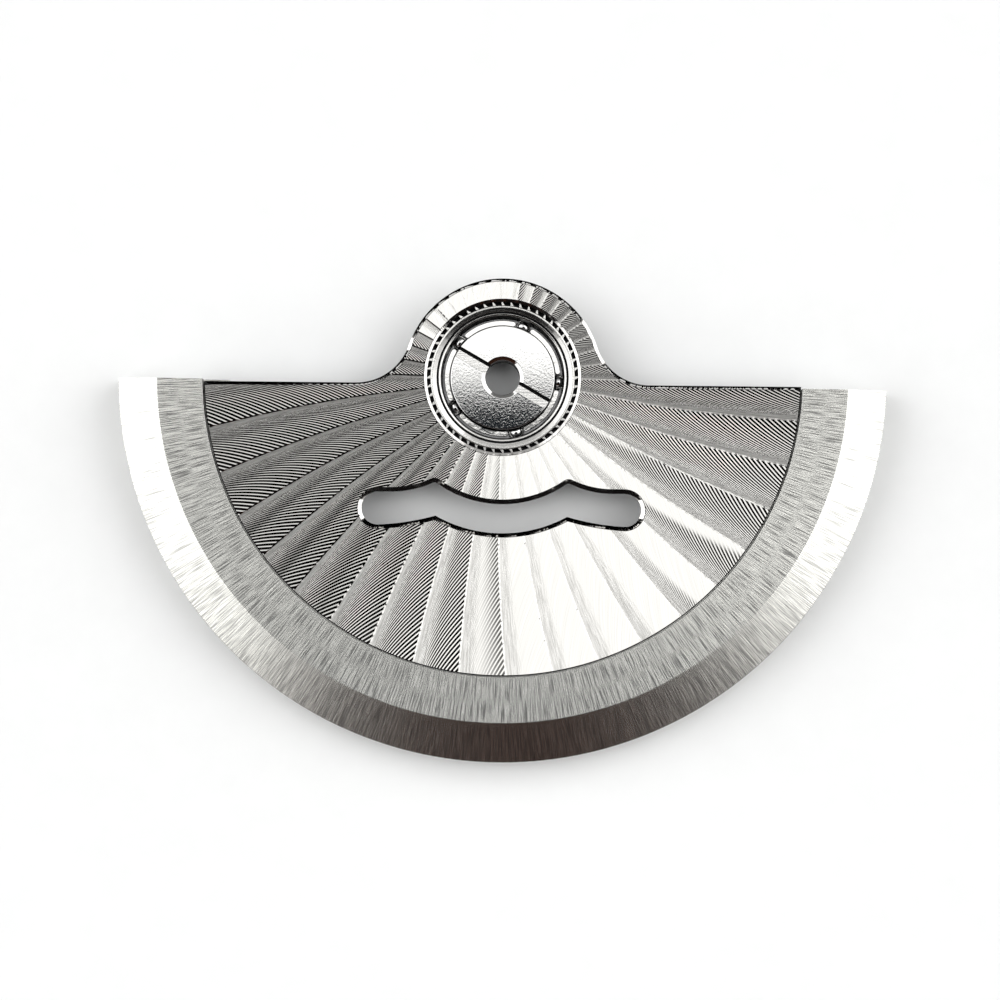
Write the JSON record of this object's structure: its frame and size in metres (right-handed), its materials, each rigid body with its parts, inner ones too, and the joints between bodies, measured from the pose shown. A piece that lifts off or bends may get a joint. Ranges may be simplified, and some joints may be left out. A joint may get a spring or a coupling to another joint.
{
  "type": "automatic watch rotor",
  "caption": "Half-round winding rotor for an automatic watch: a sunburst plate with a lens-like window, a thick weighted rim and a ball bearing at the hub.",
  "frame": {"origin": "on the bearing's axis, in the annular face of the bearing core that seats on the movement's bridge", "axes": "+Z along the bearing's axis, out of the decorated side; -Y from the axis to the middle of the heavy rim; +X to the right seen from above"},
  "size_m": [0.0266, 0.0167, 0.0017],
  "materials": {
    "plate_steel": "sunburst-cut, bright",
    "rim_metal": "radially brushed",
    "bearing_steel": "turned and polished",
    "cone_steel": "polished, fine-blasted face",
    "cage_steel": "stamped, bright",
    "ball_steel": "mirror polished",
    "gear_steel": "cut teeth, satin faces",
    "rivet_steel": "turned"
  },
  "bodies": {
    "inner_race": {"bearing_core": "bearing_steel", "slotted_cone": "cone_steel"},
    "rotor": {"rotor_plate": "plate_steel", "heavy_rim": "rim_metal", "bearing_outer_race": "bearing_steel", "rotor_gear": "gear_steel", "rim_rivet_1": "rivet_steel", "rim_rivet_2": "rivet_steel", "rim_rivet_3": "rivet_steel", "rim_rivet_4": "rivet_steel"},
    "cage": {"ball_cage": "cage_steel"},
    "ball_body_1": {"ball_1": "ball_steel"},
    "ball_body_2": {"ball_2": "ball_steel"},
    "ball_body_3": {"ball_3": "ball_steel"},
    "ball_body_4": {"ball_4": "ball_steel"},
    "ball_body_5": {"ball_5": "ball_steel"}
  },
  "joints": [
    {"name": "rotor_spin", "type": "hinge", "parent": "inner_race", "child": "rotor", "pos_m": [0, 0, 0], "axis": [0, 0, 1], "continuous": true},
    {"name": "cage_spin", "type": "hinge", "parent": "inner_race", "child": "cage", "pos_m": [0, 0, 0], "axis": [0, 0, 1], "continuous": true},
    {"name": "ball_1_roll", "type": "hinge", "parent": "cage", "child": "ball_body_1", "pos_m": [0.00193, -0.00011, 0.00058], "axis": [0, 0, 1], "continuous": true},
    {"name": "ball_2_roll", "type": "hinge", "parent": "cage", "child": "ball_body_2", "pos_m": [0.0007, 0.0018, 0.00058], "axis": [0, 0, 1], "continuous": true},
    {"name": "ball_3_roll", "type": "hinge", "parent": "cage", "child": "ball_body_3", "pos_m": [-0.00149, 0.00122, 0.00058], "axis": [0, 0, 1], "continuous": true},
    {"name": "ball_4_roll", "type": "hinge", "parent": "cage", "child": "ball_body_4", "pos_m": [-0.00163, -0.00104, 0.00058], "axis": [0, 0, 1], "continuous": true},
    {"name": "ball_5_roll", "type": "hinge", "parent": "cage", "child": "ball_body_5", "pos_m": [0.00049, -0.00187, 0.00058], "axis": [0, 0, 1], "continuous": true}
  ],
  "couplings": [
    {"joint": "cage_spin", "follows": "rotor_spin", "ratio": 0.5458},
    {"joint": "ball_1_roll", "follows": "rotor_spin", "ratio": 5.4124},
    {"joint": "ball_2_roll", "follows": "rotor_spin", "ratio": 5.4124},
    {"joint": "ball_3_roll", "follows": "rotor_spin", "ratio": 5.4124},
    {"joint": "ball_4_roll", "follows": "rotor_spin", "ratio": 5.4124},
    {"joint": "ball_5_roll", "follows": "rotor_spin", "ratio": 5.4124}
  ]
}
